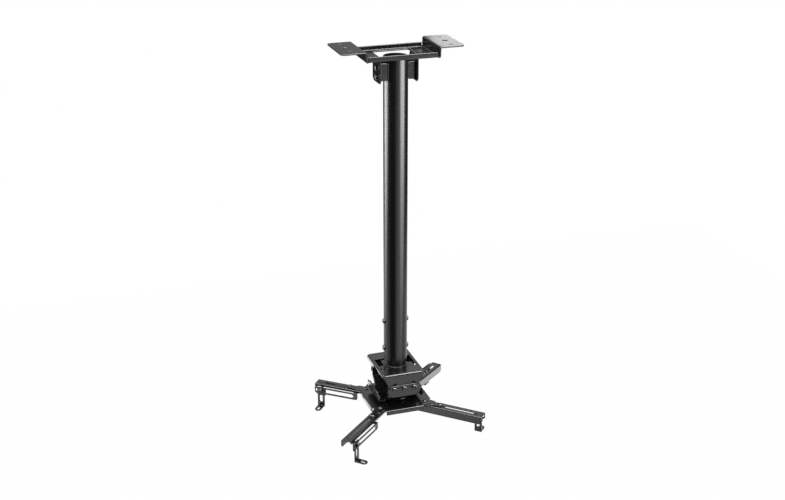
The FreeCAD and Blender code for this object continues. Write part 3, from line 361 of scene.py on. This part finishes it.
# reflectors that only glossy surfaces see, in degrees: azimuth from +X, half widths where the glow
# is full and where it ends, and the elevations where it rises and falls
cards = {
    "lowFront": {"azimuth": 292.0, "full": 14.0, "fades": 45.0, "rises": (-60.0, -40.0),
                 "falls": (-20.0, -5.0), "glow": 1.7},
    "behind": {"azimuth": 60.0, "full": 16.0, "fades": 60.0, "rises": (-2.0, 6.0),
               "falls": (13.0, 21.0), "glow": 0.3},
    "behindHigh": {"azimuth": 71.0, "full": 25.0, "fades": 60.0, "rises": (16.0, 24.0),
                   "falls": (34.0, 46.0), "glow": 1.0},
}
cardSpacing = -260


def makeWorld():
    # seen directly the room is white; a reflection sees a dark room with the cards in it
    world = bpy.data.worlds.new("studio")
    bpy.context.scene.world = world
    world.cycles.sampling_method = "NONE"
    tree = clearTree(world)
    place = addNode(tree, "ShaderNodeTexCoord", (-1500, 0)).outputs["Generated"]
    height = addNode(tree, "ShaderNodeSeparateXYZ", (-1300, -300), {0: place}).outputs["Z"]
    level = addVectorMath(tree, (-1300, 0), "MULTIPLY", place, (1, 1, 0))
    heading = addVectorMath(tree, (-1100, 0), "NORMALIZE", level.outputs[0])
    total = addRamp(tree, (-700, 400), height, studio["lowHeights"],
                    (studio["lowest"], studio["dark"]), "SMOOTHSTEP")
    for number, card in enumerate(cards.values()):
        row = number * cardSpacing
        angle = math.radians(card["azimuth"])
        toward = addVectorMath(tree, (-900, row), "DOT_PRODUCT", heading.outputs[0],
                               (math.cos(angle), math.sin(angle), 0))
        across = addRamp(tree, (-700, row), toward.outputs["Value"],
                         cosines((card["fades"], card["full"])), (0.0, card["glow"]), "SMOOTHSTEP")
        rise = addRamp(tree, (-700, row - 60), height, sines(card["rises"]),
                       (0.0, 1.0), "SMOOTHSTEP")
        fall = addRamp(tree, (-700, row - 120), height, sines(card["falls"]),
                       (1.0, 0.0), "SMOOTHSTEP")
        band = addMath(tree, (-450, row - 60), "MULTIPLY", rise, fall)
        total = addMath(tree, (-450, row), "ADD", total,
                        addMath(tree, (-450, row), "MULTIPLY", across, band))
    ray = addNode(tree, "ShaderNodeLightPath", (-300, 500)).outputs
    direct = addMath(tree, (-100, 500), "MAXIMUM", ray["Is Camera Ray"], ray["Is Transmission Ray"])
    indirect = addNode(tree, "ShaderNodeMix", (-100, 100), {
        "Factor": ray["Is Glossy Ray"], "A": studio["fill"], "B": total}, data_type="FLOAT")
    final = addNode(tree, "ShaderNodeMix", (100, 200), {
        "Factor": direct, "A": indirect.outputs["Result"], "B": studio["white"]}, data_type="FLOAT")
    background = addNode(tree, "ShaderNodeBackground", (300, 0), {
        "Color": (1, 1, 1, 1), "Strength": final.outputs["Result"]})
    addNode(tree, "ShaderNodeOutputWorld", (500, 0), {"Surface": background.outputs[0]})


# the strongest soft boxes light the tubes and the fasteners alone, as on flat sheets they would
# hide whole faces; the low lamps leave the tubes out
shinyNodes = [name for name in nodes if name in tubes or name in fasteners]
sheetNodes = [name for name in nodes if name not in tubes]
# a lamp with gloss only is seen in reflections and adds no light to a surface's own colour
lamps = {
    "key": {"place": (-1.2, -2.2, 1.2), "aim": (0.0, 0.0, -0.5), "size": (1.2, 1.2),
            "power": 40.0, "glossOnly": False},
    "topRight": {"place": (0.74, 0.80, 0.17), "aim": (0.12, 0.0, 0.0), "size": (0.7, 0.3),
                 "power": 1.6, "glossOnly": True},
    "lowRight": {"place": (0.75, 0.20, -1.22), "aim": (0.12, 0.09, -0.94), "size": (0.5, 0.3),
                 "power": 1.3, "glossOnly": True, "only": sheetNodes},
    "lowLeft": {"place": (-1.06, -0.45, -1.44), "aim": (0.05, -0.08, -0.94), "size": (0.9, 0.4),
                "power": 2.8, "glossOnly": True, "only": sheetNodes},
    "rightHigh": {"place": (1.63, -1.47, -0.20), "aim": (0.0, 0.0, -0.20), "size": (1.60, 1.5),
                  "power": 112.0, "glossOnly": True, "only": shinyNodes},
    "rightSoft": {"place": (1.63, -1.47, -0.35), "aim": (0.0, 0.0, -0.35), "size": (1.60, 1.7),
                  "power": 38.0, "glossOnly": True},
    "rightLow": {"place": (1.63, -1.47, -1.25), "aim": (0.0, 0.0, -1.25), "size": (1.60, 0.6),
                 "power": 12.0, "glossOnly": True},
    "leftHigh": {"place": (-1.76, 0.96, -0.20), "aim": (0.0, 0.0, -0.20), "size": (1.42, 1.4),
                 "power": 78.0, "glossOnly": True, "only": shinyNodes},
    "leftSoft": {"place": (-1.76, 0.96, -0.35), "aim": (0.0, 0.0, -0.35), "size": (1.42, 1.6),
                 "power": 30.0, "glossOnly": True},
    "leftLow": {"place": (-1.66, 1.12, -1.20), "aim": (0.0, 0.0, -1.20), "size": (1.15, 0.6),
                "power": 7.0, "glossOnly": True},
    "lowBackLeft": {"place": (-0.34, 1.00, -1.42), "aim": (-0.06, 0.0, -0.93), "size": (0.8, 0.36),
                    "power": 1.8, "glossOnly": True, "only": sheetNodes},
    "overhead": {"place": (0.0, -0.6, 1.6), "aim": (0.0, -0.1, -0.6), "size": (3.6, 3.0),
                 "power": 560.0, "glossOnly": True},
}


def makeLamp(name, lamp):
    light = bpy.data.lights.new(name, "AREA")
    light.shape = "RECTANGLE"
    light.size, light.size_y = lamp["size"]
    light.energy = lamp["power"]
    holder = addObject(name, light)
    holder.location = lamp["place"]
    faceAlong(holder, Vector(lamp["aim"]) - Vector(lamp["place"]))
    holder.visible_camera = False
    holder.visible_diffuse = not lamp["glossOnly"]
    if "only" in lamp:
        lit = bpy.data.collections.new(name + "Receivers")
        for receiver in lamp["only"]:
            lit.objects.link(nodes[receiver])
        holder.light_linking.receiver_collection = lit


# fitted to the photo: the camera stands in front, a little to the left, and looks down on the mount
view = {"turn": 18.7, "rise": 21.9, "distance": 3.318, "target": (-0.0069, 0.0023, -0.5234),
        "lens": 60.67, "sensor": 36.0, "reach": 60.0}


def makeCamera():
    camera = bpy.data.cameras.new("camera")
    camera.sensor_width = view["sensor"]
    camera.lens = view["lens"]
    camera.clip_end = view["reach"]
    holder = addObject("camera", camera)
    sideways, upward = sines((view["turn"], view["rise"]))
    forward, level = cosines((view["turn"], view["rise"]))
    back = Vector((-sideways * level, -forward * level, upward))
    holder.location = Vector(view["target"]) + view["distance"] * back
    faceAlong(holder, -back)
    bpy.context.scene.camera = holder


makeFloor()
makeWorld()
for lampName, lampValues in lamps.items():
    makeLamp(lampName, lampValues)
makeCamera()
bpy.context.scene.view_settings.view_transform = "Standard"
print("stage, lamps and camera placed")
